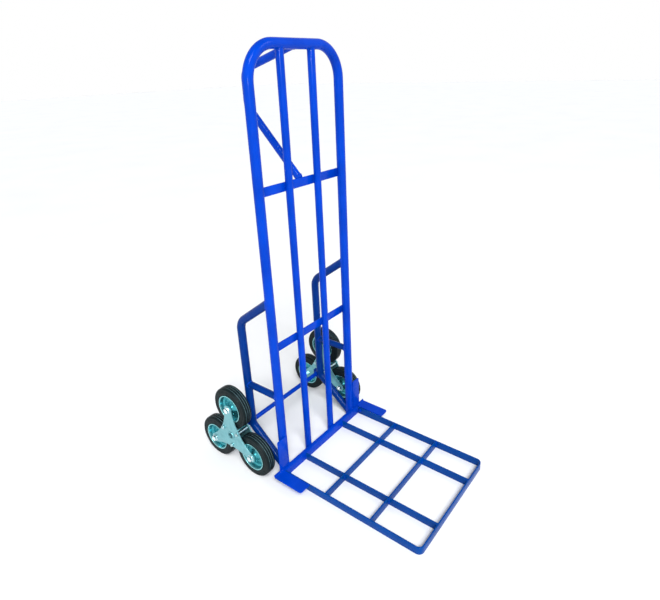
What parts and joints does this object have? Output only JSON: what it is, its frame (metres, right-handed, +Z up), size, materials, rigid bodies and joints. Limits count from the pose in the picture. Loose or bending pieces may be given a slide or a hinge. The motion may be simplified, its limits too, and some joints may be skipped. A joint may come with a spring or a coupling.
{
  "type": "stair-climbing hand truck",
  "caption": "Upright tubular hand truck with a folding grid toe plate, a rear push handle and wheel stars that roll up stairs step by step",
  "frame": {"origin": "on the floor under the centre of the bounding box, midway between the wheel stars", "axes": "+X across the truck, -Y forward over the toe grid, +Z up; the uprights stand in a plane of constant Y"},
  "size_m": [0.61, 0.9506, 1.4775],
  "materials": {
    "blue_paint": "glossy powder coat",
    "zinc_plate": "blue-passivated zinc, satin",
    "zinc_rim": "blue-passivated zinc, bright",
    "zinc_fasteners": "bright zinc",
    "tyre_rubber": "solid moulded rubber, fine ribs",
    "black_plastic": "moulded, satin"
  },
  "bodies": {
    "frame": {"main_hoop": "blue_paint", "inner_upright_left": "blue_paint", "inner_upright_right": "blue_paint", "upper_crossbar": "blue_paint", "middle_crossbar": "blue_paint", "upright_plugs": "black_plastic", "base_angle": "blue_paint", "side_frame_left": "blue_paint", "side_frame_right": "blue_paint", "side_strut_left": "blue_paint", "side_strut_right": "blue_paint", "axle_gusset_left": "blue_paint", "axle_gusset_right": "blue_paint", "rear_handle": "blue_paint", "toe_bracket_left": "blue_paint", "toe_bracket_right": "blue_paint", "hinge_lugs": "blue_paint", "hinge_bolts": "blue_paint", "hinge_nuts": "blue_paint", "axle": "blue_paint", "axle_collars": "blue_paint", "axle_washers": "zinc_fasteners", "axle_circlips": "zinc_fasteners"},
    "toe_grid": {"grid_rim": "blue_paint", "grid_rear_bar": "blue_paint", "grid_long_bar_left": "blue_paint", "grid_long_bar_right": "blue_paint", "grid_cross_bar_rear": "blue_paint", "grid_cross_bar_front": "blue_paint"},
    "star_left": {"star_plate_inner_left": "zinc_plate", "star_plate_outer_left": "zinc_plate", "star_hub_left": "zinc_plate", "tie_bars_left": "zinc_fasteners", "wheel_bolts_left": "zinc_fasteners", "wheel_nuts_left": "zinc_fasteners"},
    "wheel_left_top": {"tyre_left_top": "tyre_rubber", "rim_left_top": "zinc_rim", "wheel_hub_left_top": "zinc_fasteners"},
    "wheel_left_front": {"tyre_left_front": "tyre_rubber", "rim_left_front": "zinc_rim", "wheel_hub_left_front": "zinc_fasteners"},
    "wheel_left_rear": {"tyre_left_rear": "tyre_rubber", "rim_left_rear": "zinc_rim", "wheel_hub_left_rear": "zinc_fasteners"},
    "star_right": {"star_plate_inner_right": "zinc_plate", "star_plate_outer_right": "zinc_plate", "star_hub_right": "zinc_plate", "tie_bars_right": "zinc_fasteners", "wheel_bolts_right": "zinc_fasteners", "wheel_nuts_right": "zinc_fasteners"},
    "wheel_right_top": {"tyre_right_top": "tyre_rubber", "rim_right_top": "zinc_rim", "wheel_hub_right_top": "zinc_fasteners"},
    "wheel_right_front": {"tyre_right_front": "tyre_rubber", "rim_right_front": "zinc_rim", "wheel_hub_right_front": "zinc_fasteners"},
    "wheel_right_rear": {"tyre_right_rear": "tyre_rubber", "rim_right_rear": "zinc_rim", "wheel_hub_right_rear": "zinc_fasteners"}
  },
  "joints": [
    {"name": "toe_grid_fold", "type": "hinge", "parent": "frame", "child": "toe_grid", "pos_m": [0, 0.0762, 0.02], "axis": [-1, 0, 0], "range_deg": [0, 90]},
    {"name": "star_left_turn", "type": "hinge", "parent": "frame", "child": "star_left", "pos_m": [-0.268, 0.295, 0.13875], "axis": [1, 0, 0], "continuous": true},
    {"name": "wheel_left_top_spin", "type": "hinge", "parent": "star_left", "child": "wheel_left_top", "pos_m": [-0.268, 0.295, 0.25225], "axis": [1, 0, 0], "continuous": true},
    {"name": "wheel_left_front_spin", "type": "hinge", "parent": "star_left", "child": "wheel_left_front", "pos_m": [-0.268, 0.19671, 0.082], "axis": [1, 0, 0], "continuous": true},
    {"name": "wheel_left_rear_spin", "type": "hinge", "parent": "star_left", "child": "wheel_left_rear", "pos_m": [-0.268, 0.3933, 0.082], "axis": [1, 0, 0], "continuous": true},
    {"name": "star_right_turn", "type": "hinge", "parent": "frame", "child": "star_right", "pos_m": [0.268, 0.295, 0.13875], "axis": [1, 0, 0], "continuous": true},
    {"name": "wheel_right_top_spin", "type": "hinge", "parent": "star_right", "child": "wheel_right_top", "pos_m": [0.268, 0.295, 0.25225], "axis": [1, 0, 0], "continuous": true},
    {"name": "wheel_right_front_spin", "type": "hinge", "parent": "star_right", "child": "wheel_right_front", "pos_m": [0.268, 0.19671, 0.082], "axis": [1, 0, 0], "continuous": true},
    {"name": "wheel_right_rear_spin", "type": "hinge", "parent": "star_right", "child": "wheel_right_rear", "pos_m": [0.268, 0.3933, 0.082], "axis": [1, 0, 0], "continuous": true}
  ]
}
